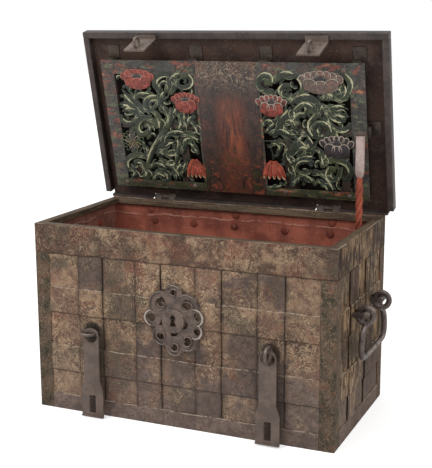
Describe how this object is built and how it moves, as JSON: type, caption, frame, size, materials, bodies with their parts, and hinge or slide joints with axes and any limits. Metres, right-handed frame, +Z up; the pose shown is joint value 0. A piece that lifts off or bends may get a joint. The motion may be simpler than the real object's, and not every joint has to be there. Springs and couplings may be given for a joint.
{
  "type": "coffer chest",
  "caption": "Iron strongbox chest with crossing straps, propped lid with a many-bolt lock under a pierced cover, hasps and drop handles",
  "frame": {"origin": "centre of the underside of the chest body, at floor level", "axes": "+X to the right seen from the front, -Y towards the front with the hasps, +Z up"},
  "size_m": [0.9819, 0.5297, 1.0352],
  "materials": {
    "painted_iron": "worn and crazed ochre oil paint over iron, bare in patches",
    "dark_iron": "dark worn iron, rubbed lighter at the edges",
    "rim_iron": "grey-brown iron, rubbed bright along the edges",
    "red_lining": "matt red-brown lead paint",
    "lid_lining": "dark red-brown paint under the lid",
    "lock_cover": "dark green oil paint with red and cream ornament, worn",
    "lock_iron": "filed iron, browned",
    "bare_iron": "forged bare iron, brown-grey",
    "stay_steel": "forged iron with traces of red paint, bright on the blade"
  },
  "bodies": {
    "chest": {"floor_plate": "red_lining", "front_plate": "painted_iron", "back_plate": "red_lining", "left_plate": "red_lining", "right_plate": "red_lining", "rim_front": "rim_iron", "rim_back": "rim_iron", "rim_left": "rim_iron", "rim_right": "rim_iron", "corner_iron_front_left": "dark_iron", "corner_iron_front_right": "dark_iron", "corner_iron_back_left": "dark_iron", "corner_iron_back_right": "dark_iron", "front_upright_straps": "painted_iron", "back_upright_straps": "painted_iron", "left_upright_straps": "painted_iron", "right_upright_straps": "painted_iron", "front_cross_straps": "painted_iron", "back_cross_straps": "painted_iron", "left_cross_straps": "painted_iron", "right_cross_straps": "painted_iron", "wall_rivets": "red_lining", "lock_rosette": "bare_iron", "hasp_eye_right": "bare_iron", "handle_staples_left": "bare_iron", "handle_staples_right": "bare_iron", "stay_bracket": "bare_iron", "hinge_back_leaves": "bare_iron", "hinge_pins": "bare_iron"},
    "lid": {"lid_plate": "lid_lining", "lid_rim_front": "rim_iron", "lid_rim_left": "rim_iron", "lid_rim_right": "rim_iron", "lid_rim_back": "rim_iron", "lid_long_straps": "rim_iron", "lid_short_straps": "rim_iron", "lid_tab_left": "rim_iron", "lid_tab_right": "rim_iron", "lid_hinge_leaves": "rim_iron", "cover_left": "lock_cover", "cover_middle": "lock_cover", "cover_right": "lock_cover", "cover_rivets": "lock_cover", "bolt_guides_front": "lock_iron", "bolt_guides_back": "lock_iron", "bolt_guides_side": "lock_iron", "stay_catch": "bare_iron", "hub_bush": "lock_iron"},
    "stay": {"stay": "stay_steel"},
    "hub": {"lock_hub": "lock_iron"},
    "bar_right": {"drive_bar_right": "lock_iron"},
    "bar_left": {"drive_bar_left": "lock_iron"},
    "bolts_front": {"front_bolts": "lock_iron"},
    "bolts_back": {"back_bolts": "lock_iron"},
    "hasp_right": {"hasp_right": "bare_iron"},
    "hasp_left": {"hasp_left": "bare_iron"},
    "eye_left": {"hasp_eye_left": "bare_iron"},
    "handle_left": {"handle_left": "bare_iron"},
    "handle_right": {"handle_right": "bare_iron"},
    "key_cover": {"keyhole_cover": "bare_iron"}
  },
  "joints": [
    {"name": "lid_hinge", "type": "hinge", "parent": "chest", "child": "lid", "pos_m": [0, 0.247, 0.533], "axis": [1, 0, 0], "range_deg": [0, 76.4]},
    {"name": "stay_fold", "type": "hinge", "parent": "chest", "child": "stay", "pos_m": [0.375, 0.147, 0.475], "axis": [1, 0, 0], "range_deg": [0, 90]},
    {"name": "lock_turn", "type": "hinge", "parent": "lid", "child": "hub", "pos_m": [0, 0.1617, 0.76649], "axis": [0, 0.972, 0.2351], "range_deg": [0, 38.95]},
    {"name": "bar_right_slide", "type": "slide", "parent": "lid", "child": "bar_right", "axis": [1, 0, 0], "range_m": [0, 0.012]},
    {"name": "bar_left_slide", "type": "slide", "parent": "lid", "child": "bar_left", "axis": [-1, 0, 0], "range_m": [0, 0.012]},
    {"name": "bolts_front_slide", "type": "slide", "parent": "lid", "child": "bolts_front", "axis": [0, -0.2351, 0.972], "range_m": [0, 0.012]},
    {"name": "bolts_back_slide", "type": "slide", "parent": "lid", "child": "bolts_back", "axis": [0, 0.2351, -0.972], "range_m": [0, 0.012]},
    {"name": "hasp_right_swing", "type": "hinge", "parent": "chest", "child": "hasp_right", "pos_m": [0.261, -0.2505, 0.244], "axis": [-1, 0, 0], "range_deg": [0, 180]},
    {"name": "hasp_left_swing", "type": "hinge", "parent": "chest", "child": "hasp_left", "pos_m": [-0.247, -0.25495, 0.2428], "axis": [-1, 0, 0], "range_deg": [0, 180]},
    {"name": "eye_left_swivel", "type": "hinge", "parent": "chest", "child": "eye_left", "pos_m": [-0.2556, -0.2495, 0.23934], "axis": [0, 1, 0], "range_deg": [0, 90]},
    {"name": "handle_left_swing", "type": "hinge", "parent": "chest", "child": "handle_left", "pos_m": [-0.463, 0, 0.325], "axis": [0, 1, 0], "range_deg": [0, 100]},
    {"name": "handle_right_swing", "type": "hinge", "parent": "chest", "child": "handle_right", "pos_m": [0.463, 0, 0.325], "axis": [0, -1, 0], "range_deg": [0, 100]},
    {"name": "key_cover_swing", "type": "hinge", "parent": "lid", "child": "key_cover", "pos_m": [0, 0.19847, 0.75275], "axis": [0, 0.972, 0.2351], "range_deg": [0, 90]}
  ],
  "couplings": [
    {"joint": "stay_fold", "follows": "lid_hinge", "ratio": 1.178},
    {"joint": "lock_turn", "follows": "bar_right_slide", "rad_per_m": 56.636},
    {"joint": "bar_left_slide", "follows": "bar_right_slide", "ratio": 1},
    {"joint": "bolts_front_slide", "follows": "bar_right_slide", "ratio": 1},
    {"joint": "bolts_back_slide", "follows": "bar_right_slide", "ratio": 1},
    {"joint": "eye_left_swivel", "follows": "hasp_left_swing", "ratio": 0.5}
  ]
}
